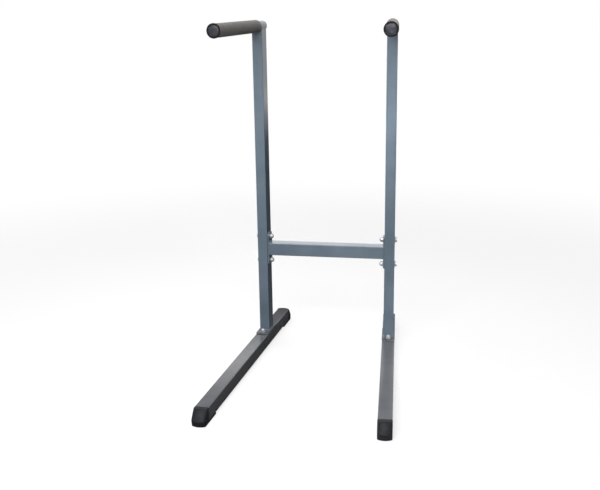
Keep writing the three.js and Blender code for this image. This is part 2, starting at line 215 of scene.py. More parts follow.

# Dark cards behind the object, seen only in gloss as painted dark reflections: range across, range of height,
# tone
REAR_GLOSS_SHADE_CARDS = {
    "rear_low_card": ((-1.8, 0.2), (0.01, 0.62), 0.02),
    "rear_high_card": ((-1.8, -0.6), (0.93, 1.5), 0.06),
    "rear_narrow_card": ((-0.06, 0.12), (0.9, 1.22), 0.03),
}


# Places read from the frame

def centre(node):
    low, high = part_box(node)
    return (low + high) / 2


def side_frame(side):
    """Where a side frame stands: its own Y runs to the rear along the rail, with X to the right."""
    front = centre(f"{side}_base_bolt_front")
    rear = centre(f"{side}_base_bolt_rear")
    along = rear - front
    middle = (front + rear) / 2
    turn = math.atan2(-along.x, along.y)
    return Matrix.Translation((middle.x, middle.y, 0)) @ Matrix.Rotation(turn, 4, "Z")


SIDE_FRAMES = {side: side_frame(side) for side in SIDES}


def local_box(side, node):
    """Lowest and highest corner of a side frame's node, in the side frame's own directions."""
    to_side = SIDE_FRAMES[side].inverted()
    points = [to_side @ v.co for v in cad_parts[f"{side}_{node}"].data.vertices]
    low = Vector([min(p[i] for p in points) for i in range(3)])
    high = Vector([max(p[i] for p in points) for i in range(3)])
    return low, high


def size_and_middle(side, node):
    low, high = local_box(side, node)
    return high - low, (low + high) / 2


# Materials

def linear(channel):
    """The share of light that an sRGB channel from 0 to 1 stands for."""
    if channel <= SRGB_KNEE:
        return channel / SRGB_SLOPE
    return ((channel + SRGB_OFFSET) / (1 + SRGB_OFFSET)) ** SRGB_POWER


def colour(code):
    """Linear colour from a hexadecimal sRGB code."""
    channels = [int(code[i:i + 2], 16) / 255 for i in (0, 2, 4)]
    return (*map(linear, channels), 1)


def new_material(name):
    material = bpy.data.materials.new(name)
    material.use_nodes = True
    tree = material.node_tree
    return material, tree, tree.nodes["Principled BSDF"]


def own_coordinates(tree):
    """Coordinates that stay with the piece."""
    return tree.nodes.new("ShaderNodeTexCoord").outputs["Object"]


def noise_node(tree, waves):
    scale, detail = waves
    texture = tree.nodes.new("ShaderNodeTexNoise")
    texture.inputs["Scale"].default_value = scale
    texture.inputs["Detail"].default_value = detail
    tree.links.new(own_coordinates(tree), texture.inputs["Vector"])
    return texture.outputs["Fac"]


def cell_node(tree, scale):
    """Distance to the nearest cell centre."""
    texture = tree.nodes.new("ShaderNodeTexVoronoi")
    texture.inputs["Scale"].default_value = scale
    tree.links.new(own_coordinates(tree), texture.inputs["Vector"])
    return texture.outputs["Distance"]


def range_node(tree, value, low, high, start=0, end=1):
    """Spreads a value from its own range, 0 to 1 if not given, over another one."""
    spread = tree.nodes.new("ShaderNodeMapRange")
    spread.inputs["From Min"].default_value = start
    spread.inputs["From Max"].default_value = end
    spread.inputs["To Min"].default_value = low
    spread.inputs["To Max"].default_value = high
    tree.links.new(value, spread.inputs["Value"])
    return spread.outputs["Result"]


def math_node(tree, operation, first, second):
    node = tree.nodes.new("ShaderNodeMath")
    node.operation = operation
    tree.links.new(first, node.inputs[0])
    tree.links.new(second, node.inputs[1])
    return node.outputs[0]


def bump_node(tree, height, distance, below=None):
    """Relief of a height, laid over the relief below it if there is one."""
    bump = tree.nodes.new("ShaderNodeBump")
    bump.inputs["Distance"].default_value = distance
    tree.links.new(height, bump.inputs["Height"])
    if below:
        tree.links.new(below, bump.inputs["Normal"])
    return bump.outputs["Normal"]


def set_tone(tree, shader, cloud, span, dark, light):
    """Clouds the shader's colour between a dark and a light tone."""
    ramp = tree.nodes.new("ShaderNodeValToRGB")
    for element, position, code in zip(ramp.color_ramp.elements, span, (dark, light)):
        element.position = position
        element.color = colour(code)
    tree.links.new(noise_node(tree, cloud), ramp.inputs["Fac"])
    tree.links.new(ramp.outputs["Color"], shader.inputs["Base Color"])


def set_roughness(tree, shader, wander, low, high):
    """Lets the shader's roughness wander between two values."""
    spread = range_node(tree, noise_node(tree, wander), low, high)
    tree.links.new(spread, shader.inputs["Roughness"])


def set_relief(tree, shader, relief):
    tree.links.new(relief, shader.inputs["Normal"])


def gloss_paint(name, dark, light, roughness):
    """Stoved gloss paint: cloudy tone, a roughness that wanders and slight orange peel."""
    material, tree, shader = new_material(name)
    set_tone(tree, shader, PAINT_CLOUD, PAINT_SPAN, dark, light)
    set_roughness(tree, shader, PAINT_WANDER, *roughness)
    set_relief(tree, shader, bump_node(tree, noise_node(tree, PAINT_PEEL), PAINT_PEEL_DEPTH))
    return material


def moulded_plastic(name, dark, light, roughness, specular):
    """Moulded plastic with a fine spark-eroded grain."""
    material, tree, shader = new_material(name)
    set_tone(tree, shader, PLASTIC_CLOUD, PLASTIC_SPAN, dark, light)
    set_roughness(tree, shader, PLASTIC_WANDER, *roughness)
    set_relief(tree, shader, bump_node(tree, noise_node(tree, PLASTIC_GRAIN), PLASTIC_GRAIN_DEPTH))
    shader.inputs["Specular IOR Level"].default_value = specular
    return material


def closed_cell_foam(name, dark, light, specular, sheen):
    """Foam rubber, finely pitted and mottled. Its skin has a soft sheen, which a cut end lacks."""
    material, tree, shader = new_material(name)
    set_tone(tree, shader, FOAM_MOTTLE, FOAM_SPAN, dark, light)
    pits = bump_node(tree, cell_node(tree, FOAM_PITS_PER_METRE), FOAM_PIT_DEPTH)
    set_relief(tree, shader, bump_node(tree, noise_node(tree, FOAM_SKIN), FOAM_SKIN_DEPTH, pits))
    shader.inputs["Roughness"].default_value = FOAM_ROUGHNESS
    shader.inputs["Specular IOR Level"].default_value = specular
    shader.inputs["Sheen Weight"].default_value = sheen
    shader.inputs["Sheen Roughness"].default_value = FOAM_SHEEN_ROUGHNESS
    shader.inputs["Sheen Tint"].default_value = colour(FOAM_SHEEN_TINT)
    return material


def bright_zinc(name, dark, light, roughness):
    """Bright zinc plate, a little cloudy."""
    material, tree, shader = new_material(name)
    shader.inputs["Metallic"].default_value = 1
    set_tone(tree, shader, ZINC_CLOUD, ZINC_SPAN, dark, light)
    set_roughness(tree, shader, ZINC_WANDER, *roughness)
    set_relief(tree, shader, bump_node(tree, noise_node(tree, ZINC_GRAIN), ZINC_GRAIN_DEPTH))
    return material


FINISHES = {
    "frame_paint": gloss_paint("frame_paint", "5b6976", "667582", roughness=(0.17, 0.23)),
    "rail_paint": gloss_paint("rail_paint", "505256", "595b5f", roughness=(0.17, 0.23)),
    "foot_plastic": moulded_plastic("foot_plastic", "191a1d", "232529", roughness=(0.5, 0.6), specular=0.15),
    "plug_plastic": moulded_plastic("plug_plastic", "2a2b30", "34363c", roughness=(0.32, 0.4), specular=0.17),
    "grip_foam": closed_cell_foam("grip_foam", "201f1f", "2d2c2b", specular=0.5, sheen=0.3),
    "zinc_steel": bright_zinc("zinc_steel", "94989e", "b4b7bb", roughness=(0.48, 0.6)),
}
# Darker foam for the cut ends: its darker tone is painted shade; its low gloss and missing sheen are the
# cut's own.
SHADED_CUT_FOAM = closed_cell_foam("shaded_grip_foam_cut", "121214", "161618", specular=0.1, sheen=0)


# Outlines

def quarter_turn(steps):
    """Angles from zero to a right angle."""
    return [step / steps * math.pi / 2 for step in range(steps + 1)]


def rounded_rectangle(width, height, radius, side_steps=1):
    """Points of a rectangle with round corners, counter-clockwise, centred on zero."""
    points = []
    x, y = width / 2 - radius, height / 2 - radius
    corners = [(x, y), (-x, y), (-x, -y), (x, -y)]
    for quarter, (cx, cy) in enumerate(corners):
        for step in range(CORNER_STEPS + 1):
            angle = (quarter + step / CORNER_STEPS) * math.pi / 2
            points.append(Vector((cx + radius * math.cos(angle), cy + radius * math.sin(angle))))
        start = points[-1]
        nx, ny = corners[(quarter + 1) % 4]
        angle = (quarter + 1) * math.pi / 2
        end = Vector((nx + radius * math.cos(angle), ny + radius * math.sin(angle)))
        points += [start.lerp(end, step / side_steps) for step in range(1, side_steps)]
    return points


def tube_sections(width, height, corner, side_steps=1):
    """Outlines of a square or rectangular tube's outer and inner faces."""
    outer = rounded_rectangle(width, height, corner, side_steps)
    bore = (width - 2 * TUBE_WALL, height - 2 * TUBE_WALL, corner - TUBE_WALL)
    return outer, rounded_rectangle(*bore, side_steps)


def polar_ring(reach, level, steps):
    """Points round the Z axis; reach gives the radius at each angle."""
    ring = []
    for step in range(steps):
        angle = 2 * math.pi * step / steps
        radius = reach(angle)
        ring.append(Vector((radius * math.cos(angle), radius * math.sin(angle), level)))
    return ring


def circle(radius, level, steps):
    return polar_ring(lambda angle: radius, level, steps)


def polygon_reach(flats, sides, limit=math.inf):
    """Radius of a regular polygon at each angle, held within a limit."""
    sector = 2 * math.pi / sides

    def reach(angle):
        off = (angle + sector / 2) % sector - sector / 2
        return min(flats / 2 / math.cos(off), limit)

    return reach


def dome(radius, level, height):
    """Radius and level of points along a quarter ellipse, from the rim to the axis."""
    angles = quarter_turn(DOME_STEPS)[:-1]
    points = [(radius * math.cos(angle), level + height * math.sin(angle)) for angle in angles]
    return points + [(0, level + height)]


# Meshes

def mesh_from(bm, name):
    mesh = bpy.data.meshes.new(name)
    bm.to_mesh(mesh)
    bm.free()
    return mesh


def loft(rings, wrap=False):
    """A closed surface through rings of as many points each. It is capped unless it wraps round."""
    bm = bmesh.new()
    rows = [[bm.verts.new(point) for point in ring] for ring in rings]
    count = len(rows[0])
    following = rows[1:] + rows[:1] if wrap else rows[1:]
    for row, above in zip(rows, following):
        for i in range(count):
            j = (i + 1) % count
            bm.faces.new((row[i], row[j], above[j], above[i]))
    if not wrap:
        bm.faces.new(rows[0][::-1])
        bm.faces.new(rows[-1])
    bmesh.ops.remove_doubles(bm, verts=bm.verts, dist=MERGE_DISTANCE)
    bmesh.ops.dissolve_degenerate(bm, edges=bm.edges, dist=MERGE_DISTANCE)
    bmesh.ops.recalc_face_normals(bm, faces=bm.faces)
    return mesh_from(bm, "loft")


def turned(profile, steps, wrap=False):
    """A body turned about Z from radius and level pairs."""
    return loft([circle(radius, level, steps) for radius, level in profile], wrap)


def tube_along(place, outer, inner, start, end):
    """A tube between two places; place puts a section point at a start or an end."""
    rings = [
        [place(p, start) for p in outer],
        [place(p, end) for p in outer],
        [place(p, end) for p in inner],
        [place(p, start) for p in inner],
    ]
    return loft(rings, wrap=True)


def joined(meshes):
    """One mesh from several."""
    bm = bmesh.new()
    for mesh in meshes:
        bm.from_mesh(mesh)
    return mesh_from(bm, "joined")


def new_object(name, data):
    """A new object in the scene that shows a mesh, a light or the camera."""
    made = bpy.data.objects.new(name, data)
    bpy.context.scene.collection.objects.link(made)
    return made


def cut(mesh, cutters):
    """The mesh with each cutter taken out."""
    body = new_object("cut_body", mesh)
    tools = [new_object("cut_tool", cutter) for cutter in cutters]
    for tool in tools:
        difference = body.modifiers.new("cut", "BOOLEAN")
        difference.operation = "DIFFERENCE"
        difference.solver = "EXACT"
        difference.object = tool
    bpy.context.view_layer.update()
    evaluated = body.evaluated_get(bpy.context.evaluated_depsgraph_get())
    result = bpy.data.meshes.new_from_object(evaluated)
    for made in [body, *tools]:
        bpy.data.objects.remove(made)
    return result


def moved(mesh, matrix):
    mesh.transform(matrix)
    return mesh


def add_piece(name, mesh, slot, place, *nodes):
    """Shows a mesh as a piece of the object, with its finish, in place of its CAD nodes."""
    piece = new_object(name, mesh)
    mesh.materials.clear()
    mesh.materials.append(FINISHES[slot])
    mesh.shade_smooth()
    mesh.set_sharp_from_angle(angle=SHARP_ANGLE)
    weighted = piece.modifiers.new("weighted_normals", "WEIGHTED_NORMAL")
    weighted.keep_sharp = True
    piece.matrix_world = place
    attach(piece, "root")
    if nodes:
        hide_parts(*nodes)
    return piece


# Tubes

def bolt_hole(middle, axis, length):
    """A cutter for a bolt hole round a middle point, along X or Z."""
    bar = turned([(HOLE_RADIUS, -length / 2), (HOLE_RADIUS, length / 2)], FASTENER_STEPS)
    turn = Matrix.Rotation(math.pi / 2, 4, "Y") if axis == "X" else Matrix.Identity(4)
    return moved(bar, Matrix.Translation(middle) @ turn)


def crossbar_bolt_holes(side, x):
    """Cutters for the two holes through an upright or an end plate."""
    holes = []
    for level in ("upper", "lower"):
        size, middle = size_and_middle(side, f"crossbar_bolt_{level}")
        holes.append(bolt_hole((x, 0, middle.z), "X", size.x))
    return holes


def base_bolt_holes(side, z, length):
    """Cutters for the two round holes through a base plate or a rail's upper wall."""
    holes = []
    for end in ("front", "rear"):
        middle = size_and_middle(side, f"base_bolt_{end}")[1]
        holes.append(bolt_hole((middle.x, middle.y, z), "Z", length))
    return holes


def neck_holes(side, z, length):
    """Cutters for the square holes round the base bolts' necks in the rail's lower wall."""
    half = SQUARE_NECK_SIDE / 2 + BOLT_CLEARANCE
    corners = [(half, half), (-half, half), (-half, -half), (half, -half)]
    holes = []
    for end in ("front", "rear"):
        middle = size_and_middle(side, f"base_bolt_{end}")[1]
        levels = (z - length / 2, z + length / 2)
        rings = [[Vector((middle.x + x, middle.y + y, level)) for x, y in corners] for level in levels]
        holes.append(loft(rings))
    return holes


def handle_axis(side):
    """Radius of the handle's tube and the height of its axis."""
    size, middle = size_and_middle(side, "handle_tube")
    return size.x / 2, middle.z


def saddle_level(side, x, top):
    """Height of the upright's top where it follows the underside of the handle's tube."""
    radius, height = handle_axis(side)
    reach = radius + SEAT_GAP
    if abs(x) >= reach:
        return top
    return min(top, height - math.sqrt(reach * reach - x * x))


def upright_sections(side):
    size = size_and_middle(side, "upright")[0]
    return tube_sections(size.x, size.y, UPRIGHT_CORNER, SADDLE_STEPS)


def add_upright(side):
    low, high = local_box(side, "upright")

    def place(point, at_top):
        level = saddle_level(side, point.x, high.z) if at_top else low.z
        return Vector((point.x, point.y, level))

    outer, inner = upright_sections(side)
    mesh = cut(tube_along(place, outer, inner, False, True), crossbar_bolt_holes(side, 0))
    add_piece(f"{side}_upright_tube", mesh, "frame_paint", SIDE_FRAMES[side], f"{side}_upright")


def add_rail(side):
    low, high = local_box(side, "base_rail")
    size, middle = high - low, (low + high) / 2

    def place(point, y):
        return Vector((point.x, y, middle.z + point.y))

    outer, inner = tube_sections(size.x, size.z, RAIL_CORNER)
    holes = base_bolt_holes(side, high.z, size.z / 2) + neck_holes(side, low.z, size.z / 2)
    mesh = cut(tube_along(place, outer, inner, low.y, high.y), holes)
    add_piece(f"{side}_base_rail_tube", mesh, "rail_paint", SIDE_FRAMES[side], f"{side}_base_rail")


def crossbar_end(side, point, middle):
    """A point of the crossbar's section where the bar meets that side's end plate."""
    low, high = local_box(side, "crossbar_end_plate")
    inner_x = low.x - SEAT_GAP if side == "right" else high.x + SEAT_GAP
    seat = SIDE_FRAMES[side] @ Vector((inner_x, 0, 0))
    normal = SIDE_FRAMES[side].to_3x3() @ Vector((1, 0, 0))
    y = middle.y + point.x
    return Vector((seat.x - normal.y / normal.x * (y - seat.y), y, middle.z + point.y))


def crossbar_size_and_middle():
    """Side of the crossbar's square section and the bar's middle."""
    low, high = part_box("crossbar")
    return high.z - low.z, (low + high) / 2


def add_crossbar():
    width, middle = crossbar_size_and_middle()

    def place(point, side):
        return crossbar_end(side, point, middle)

    outer, inner = tube_sections(width, width, CROSSBAR_CORNER)
    mesh = tube_along(place, outer, inner, "left", "right")
    add_piece("crossbar_tube", mesh, "frame_paint", Matrix.Identity(4), "crossbar")


# Plates

def flat_plate(width, height, corner, thickness):
    """A plate with round corners and slightly broken edges, from zero up to its thickness."""
    full = rounded_rectangle(width, height, corner)
    inset = rounded_rectangle(width - 2 * PLATE_EDGE, height - 2 * PLATE_EDGE, corner - PLATE_EDGE)
    stack = [(inset, 0), (full, PLATE_EDGE), (full, thickness - PLATE_EDGE), (inset, thickness)]
    return loft([[p.to_3d() + Vector((0, 0, level)) for p in ring] for ring, level in stack])


def add_base_plate(side):
    low, high = local_box(side, "base_plate")
    size = high - low
    plate = flat_plate(size.x, size.y, BASE_PLATE_CORNER, size.z)
    plate = moved(plate, Matrix.Translation((0, 0, low.z)))
    mesh = cut(plate, base_bolt_holes(side, high.z, size.x))
    add_piece(f"{side}_foot_plate", mesh, "rail_paint", SIDE_FRAMES[side], f"{side}_base_plate")


def add_end_plate(side):
    low, high = local_box(side, "crossbar_end_plate")
    size, middle = high - low, (low + high) / 2
    plate = flat_plate(size.z, size.y, END_PLATE_CORNER, size.x)
    stand = Matrix.Translation((low.x, 0, middle.z)) @ Matrix.Rotation(math.pi / 2, 4, "Y")
    mesh = cut(moved(plate, stand), crossbar_bolt_holes(side, middle.x))
    name = f"{side}_joint_plate"
    add_piece(name, mesh, "frame_paint", SIDE_FRAMES[side], f"{side}_crossbar_end_plate")


# Welds

def spaced(path, closed):
    """The path with a point at every weld step."""
    ends = path[1:] + path[:1] if closed else path[1:]
    points = []
    for start, end in zip(path, ends):
        count = max(1, round((end - start).length / WELD_STEP))
        points += [start.lerp(end, i / count) for i in range(count)]
    return points if closed else points + [path[-1]]


def weld_bead(path, across, closed):
    """A rippled bead along a path, tapered at its ends if open. Across is square to the seam's plane."""
    points = spaced(path, closed)
    count = len(points)
    rings = []
    travelled = 0
    for i, point in enumerate(points):
        before = points[i - 1] if closed or i else point
        after = points[(i + 1) % count] if closed or i < count - 1 else point
        along = (after - before).normalized()
        outward = along.cross(across).normalized()
        travelled += (point - before).length if i else 0
        ripple = WELD_RIPPLE * abs(math.sin(math.pi * travelled / WELD_PITCH))
        taper = 1 if closed else math.sqrt(math.sin(math.pi * (i + 0.5) / count))
        radius = (WELD_RADIUS - ripple) * taper
        ring = []
        for step in range(WELD_SIDES):
            angle = 2 * math.pi * step / WELD_SIDES
            ring.append(point + radius * (math.cos(angle) * outward + math.sin(angle) * across))
        rings.append(ring)
    return loft(rings, wrap=closed)


def add_upright_welds(side):
    """Beads round the upright's foot and along the saddle under the handle."""
    low, high = local_box(side, "upright")
    outline = upright_sections(side)[0]
    up = Vector((0, 0, 1))
    foot = [Vector((p.x, p.y, low.z)) for p in outline]
    saddle = [Vector((p.x, p.y, saddle_level(side, p.x, high.z))) for p in outline]
    for name, seam in (("foot", foot), ("saddle", saddle)):
        add_piece(f"{side}_{name}_weld", weld_bead(seam, up, True), "frame_paint", SIDE_FRAMES[side])


def add_crossbar_welds(side):
    """Beads above and below the crossbar where it meets its end plate."""
    width, middle = crossbar_size_and_middle()
    outline = rounded_rectangle(width, width, CROSSBAR_CORNER)
    flank = width / 2 - CROSSBAR_CORNER / 2
    across = SIDE_FRAMES[side].to_3x3() @ Vector((1, 0, 0))
    for level, sign in (("upper", 1), ("lower", -1)):
        edge = sorted((p for p in outline if sign * p.y > flank), key=lambda p: p.x)
        mesh = weld_bead([crossbar_end(side, p, middle) for p in edge], across, False)
        add_piece(f"{side}_crossbar_weld_{level}", mesh, "frame_paint", Matrix.Identity(4))


# Handles

def along_handle(side):
    """Lays a body that is turned about Z along the handle, with +Z to the front."""
    height = handle_axis(side)[1]
    turn = Matrix.Rotation(math.pi / 2, 4, "X")
    return SIDE_FRAMES[side] @ Matrix.Translation((0, 0, height)) @ turn


def add_handle_tube(side):
    low, high = local_box(side, "handle_tube")
    outer = (high.x - low.x) / 2
    inner = outer - TUBE_WALL
    profile = [(inner, -high.y), (outer, -high.y), (outer, -low.y), (inner, -low.y)]
    mesh = turned(profile, ROUND_STEPS, wrap=True)
    name = f"{side}_handle_bar"
    add_piece(name, mesh, "frame_paint", along_handle(side), f"{side}_handle_tube")


def grip_profile(rear, front, inner, outer):
    """Radius and level along the foam: a round rear end, and a front end that spreads a little."""
    body = outer - GRIP_SPREAD
    profile = [(inner, rear)]
    for angle in quarter_turn(CORNER_STEPS):
        reach = body - GRIP_REAR_EDGE * (1 - math.sin(angle))
        profile.append((reach, rear + GRIP_REAR_EDGE * (1 - math.cos(angle))))
    start, end = rear + GRIP_REAR_EDGE, front - GRIP_SPREAD_LENGTH
    count = round((end - start) / GRIP_STEP)
    profile += [(body, start + (end - start) * i / count) for i in range(1, count + 1)]
    spread_run = GRIP_SPREAD_LENGTH - GRIP_FRONT_EDGE
    for step in range(1, CORNER_STEPS + 1):
        share = step / CORNER_STEPS
        profile.append((body + GRIP_SPREAD * share * share, end + spread_run * share))
    for angle in quarter_turn(CORNER_STEPS)[1:]:
        reach = outer - GRIP_FRONT_EDGE * (1 - math.cos(angle))
        profile.append((reach, front - GRIP_FRONT_EDGE * (1 - math.sin(angle))))
    profile.append((inner, front))
    return profile


def add_grip(side):
    """Foam sleeve whose skin swells and dips slightly along its length."""
    low, high = local_box(side, "handle_grip")
    outer = (high.x - low.x) / 2 - GRIP_SWELL
    inner = handle_axis(side)[0] + SEAT_GAP
    rings = [circle(r, z, ROUND_STEPS) for r, z in grip_profile(-high.y, -low.y, inner, outer)]
    seed = Vector((SIDES[side], 0, 0))
    for ring in rings[1:-1]:
        for point in ring:
            swell = noise.noise(point * GRIP_SWELL_SCALE + seed) * GRIP_SWELL
            radial = Vector((point.x, point.y, 0)).normalized()
            point += radial * swell
    mesh = loft(rings, wrap=True)
    name = f"{side}_foam_grip"
    grip = add_piece(name, mesh, "grip_foam", along_handle(side), f"{side}_handle_grip")
    # Faces that point along the handle take the darker cut foam, painted shade on the grip's ends.
    mesh.materials.append(SHADED_CUT_FOAM)
    for face in mesh.polygons:
        face.material_index = int(abs(face.normal.z) > CUT_FACE_LEAN)


def plug_mesh(flange, length, height):
    """A plug with its flange seated at zero, a domed face above and a hollow spigot below."""
    spigot = flange - TUBE_WALL - PLUG_CLEARANCE
    bore = spigot - PLUG_SPIGOT_WALL
    profile = [(0, 0), (bore, 0), (bore, -length), (spigot, -length), (spigot, 0), (flange, 0)]
    for angle in quarter_turn(CORNER_STEPS):
        reach = flange - PLUG_EDGE * (1 - math.cos(angle))
        profile.append((reach, PLUG_RIM - PLUG_EDGE * (1 - math.sin(angle))))
    profile += dome(flange - PLUG_EDGE, PLUG_RIM, height - PLUG_RIM)[1:]
    return turned(profile, ROUND_STEPS)


def add_plugs(side):
    tube_low, tube_high = local_box(side, "handle_tube")
    flange = (tube_high.x - tube_low.x) / 2
    for end, turn in (("front", 0), ("rear", math.pi)):
        node = f"handle_{end}_plug"
        low, high = local_box(side, node)
        if end == "front":
            seat, height = -tube_low.y + SEAT_GAP, tube_low.y - SEAT_GAP - low.y
        else:
            seat, height = -tube_high.y - SEAT_GAP, high.y - tube_high.y - SEAT_GAP
        mesh = plug_mesh(flange, high.y - low.y - height, height)
        stand = Matrix.Translation((0, 0, seat)) @ Matrix.Rotation(turn, 4, "X")
        name = f"{side}_{end}_end_plug"
        add_piece(name, mesh, "plug_plastic", along_handle(side) @ stand, f"{side}_{node}")


# Foot caps

def toe_reach_at(z, reach, top):
    """How far the toe's front stands beyond the tube's end at a height; reach is that at the crease."""
    lower = TOE_BASE_REACH + (reach - TOE_BASE_REACH) * z / CREASE_HEIGHT
    share = (z - CREASE_HEIGHT) / (top - CREASE_HEIGHT)
    slope = reach + (TOE_TOP_REACH - reach) * share
    upper = slope + 4 * TOE_BULGE * share * (1 - share)
    gap = max(CREASE_BLEND - abs(lower - upper), 0) / CREASE_BLEND
    return min(lower, upper) - gap * gap * CREASE_BLEND / 4


def edge_inset(z, top, radius_low, radius_high):
    """How far a round edge draws the outline in near the floor and near the top."""
    if z < radius_low:
        radius, off = radius_low, (radius_low - z) / radius_low
    elif z > top - radius_high:
        radius, off = radius_high, (z - top + radius_high) / radius_high
    else:
        return 0
    return radius * (1 - math.sqrt(max(1 - off * off, 0)))


def panel_share(along, y):
    """How much of the panel's depth a point of the front has, from 0 outside to 1 inside."""
    dx = abs(along) - PANEL_HEIGHT / 2 + PANEL_CORNER
    dy = abs(y) - PANEL_WIDTH / 2 + PANEL_CORNER
    outside = math.hypot(max(dx, 0), max(dy, 0)) + min(max(dx, dy), 0) - PANEL_CORNER
    share = min(max(0.5 - outside / PANEL_WALL, 0), 1)
    return share * share * (3 - 2 * share)


def toe_section(z, sizes, back, tail_corner):
    """The cap's outline in plan at a height, from the rear left round the toe to the rear right."""
    top = sizes["top"]
    half = sizes["half"] - edge_inset(z, top, TOE_BOTTOM_EDGE, RAIL_CORNER)
    edge = edge_inset(z, top, TOE_BOTTOM_EDGE, TOE_TOP_EDGE)
    front = toe_reach_at(z, sizes["reach"], top) - edge
    corner = TOE_CORNER - edge

    def bowed(x, y):
        return x + TOE_BOW * (1 - (y / half) ** 2), y

    flank = []
    for angle in reversed(quarter_turn(CORNER_STEPS)):
        x = back + tail_corner * (1 - math.sin(angle))
        flank.append((x, -half + tail_corner * (1 - math.cos(angle))))
    flank.append((SEAT_GAP, -half))
    for angle in quarter_turn(CORNER_STEPS):
        x = front - corner * (1 - math.sin(angle))
        flank.append(bowed(x, -half + corner * (1 - math.cos(angle))))
    run = 2 * (half - corner)
    count = sizes["across"]
    toe = [bowed(front, -half + corner + run * i / count) for i in range(1, count)]
    return flank + toe + [(x, -y) for x, y in reversed(flank)]


def toe_levels(top):
    """Heights of the cap's sections: close together at its edges and over the slanted front."""
    start = CREASE_HEIGHT - 2 * CREASE_BLEND
    end = top - RAIL_CORNER
    base_count = round((CREASE_HEIGHT - CREASE_BLEND) / TOE_BASE_STEP)
    front_count = round((end - start) / TOE_STEP)
    levels = [TOE_BOTTOM_EDGE * (1 - math.cos(angle)) for angle in quarter_turn(TOE_EDGE_STEPS)]
    levels += [TOE_BOTTOM_EDGE + (start - TOE_BOTTOM_EDGE) * i / base_count for i in range(1, base_count)]
    levels += [start + (end - start) * i / front_count for i in range(front_count)]
    levels += [top - RAIL_CORNER * (1 - math.sin(angle)) for angle in quarter_turn(TOE_CROWN_STEPS)]
    return levels


def cap_sizes(side):
    """The cap's half width, top, reach and divisions across, and its pad's length back and height."""
    rail_low, rail_high = local_box(side, "base_rail")
    low, high = local_box(side, "front_foot_cap")
    half = (high.x - low.x) / 2
    return {
        "half": half,
        "top": rail_high.z,
        "reach": rail_low.y - low.y - TOE_BOW,
        "across": round(2 * (half - TOE_CORNER) / TOE_STEP),
        "pad_back": high.y - rail_low.y,
        "pad_top": rail_low.z - SEAT_GAP,
    }


def cap_sections(sizes):
    """Height and outline of each section. Up to the pad's top they run back under the tube."""
    levels = toe_levels(sizes["top"])
    pad_top = sizes["pad_top"]
    low_levels = [z for z in levels if z < pad_top] + [pad_top]
    high_levels = [pad_top] + [z for z in levels if z > pad_top]
    sections = [(z, toe_section(z, sizes, -sizes["pad_back"], PAD_TAIL_CORNER)) for z in low_levels]
    sections += [(z, toe_section(z, sizes, SEAT_GAP, 0)) for z in high_levels]
    return sections


def toe_mesh(sizes):
    """The toe and its pad, with the panel pressed into the slanted front."""
    run = sizes["reach"] - TOE_TOP_REACH
    rise = sizes["top"] - CREASE_HEIGHT
    slope = math.hypot(run, rise)
    outward = Vector((rise, 0, run)) / slope
    upward = Vector((-run, 0, rise)) / slope
    middle = Vector((sizes["reach"] - run / 2, 0, CREASE_HEIGHT + rise / 2))
    rings = []
    for z, outline in cap_sections(sizes):
        ring = []
        for x, y in outline:
            point = Vector((x, y, z))
            offset = point - middle
            on_front = offset.dot(outward) > -PANEL_DEPTH
            depth = PANEL_DEPTH * panel_share(offset.dot(upward), y) if on_front else 0
            ring.append(point - outward * depth)
        rings.append(ring)
    return loft(rings)


def spigot_mesh(side):
    """The hollow square spigot that holds a cap in its tube."""
    size, middle = size_and_middle(side, "base_rail")
    width = size.x - 2 * TUBE_WALL - 2 * SPIGOT_CLEARANCE
    bore = width - 2 * SPIGOT_WALL
    outer = rounded_rectangle(width, width, SPIGOT_WALL + SEAT_GAP)
    inner = rounded_rectangle(bore, bore, SEAT_GAP)

    def place(point, x):
        return Vector((x, point.x, middle.z + point.y))

    return tube_along(place, outer, inner, -SPIGOT_LENGTH, TOE_TOP_REACH / 2)


def foot_cap_mesh(side):
    """A foot cap whose toe points along +X, with the tube's end at x = 0."""
    return joined([toe_mesh(cap_sizes(side)), spigot_mesh(side)])


def add_foot_caps(side):
    rail_low, rail_high = local_box(side, "base_rail")
    for end, y, turn in (("front", rail_low.y, -math.pi / 2), ("rear", rail_high.y, math.pi / 2)):
        place = SIDE_FRAMES[side] @ Matrix.Translation((0, y, 0)) @ Matrix.Rotation(turn, 4, "Z")
        name = f"{side}_{end}_shoe"
        add_piece(name, foot_cap_mesh(side), "foot_plastic", place, f"{side}_{end}_foot_cap")


# Fasteners, each standing on its seat at zero with +Z from the head to the nut

def chamfered_hex(seat, top):
    """Rings of a hexagon from its seat to its top, where the corners are turned down."""
    corner = NUT_FLATS / math.sqrt(3)
    spread = corner - NUT_FLATS / 2
    rings = [polar_ring(polygon_reach(NUT_FLATS, 6), seat, FASTENER_STEPS)]
    toward = 1 if top > seat else -1
    for step in range(DOME_STEPS + 1):
        share = step / DOME_STEPS
        limit = corner - spread * share
        level = top - toward * NUT_CHAMFER * (1 - share)
        rings.append(polar_ring(polygon_reach(NUT_FLATS, 6, limit), level, FASTENER_STEPS))
    return rings


def shank_rings(bottom, top):
    return [
        circle(BOLT_RADIUS, bottom, FASTENER_STEPS),
        circle(BOLT_RADIUS, top - BOLT_TIP_CHAMFER, FASTENER_STEPS),
        circle(BOLT_RADIUS - BOLT_TIP_CHAMFER, top, FASTENER_STEPS),
    ]


def hex_bolt_mesh(length):
    head = chamfered_hex(0, -HEX_HEAD_HEIGHT)
    return loft(head[::-1] + shank_rings(0, length))


def round_bolt_mesh(length):
    """A low round head over a square neck."""
    head = dome(ROUND_HEAD_RADIUS, 0, -ROUND_HEAD_HEIGHT)[::-1]
    rings = [circle(radius, level, FASTENER_STEPS) for radius, level in head]
    neck = polygon_reach(SQUARE_NECK_SIDE, 4)
    rings += [polar_ring(neck, level, FASTENER_STEPS) for level in (0, SQUARE_NECK_HEIGHT)]
    return loft(rings + shank_rings(SQUARE_NECK_HEIGHT, length))


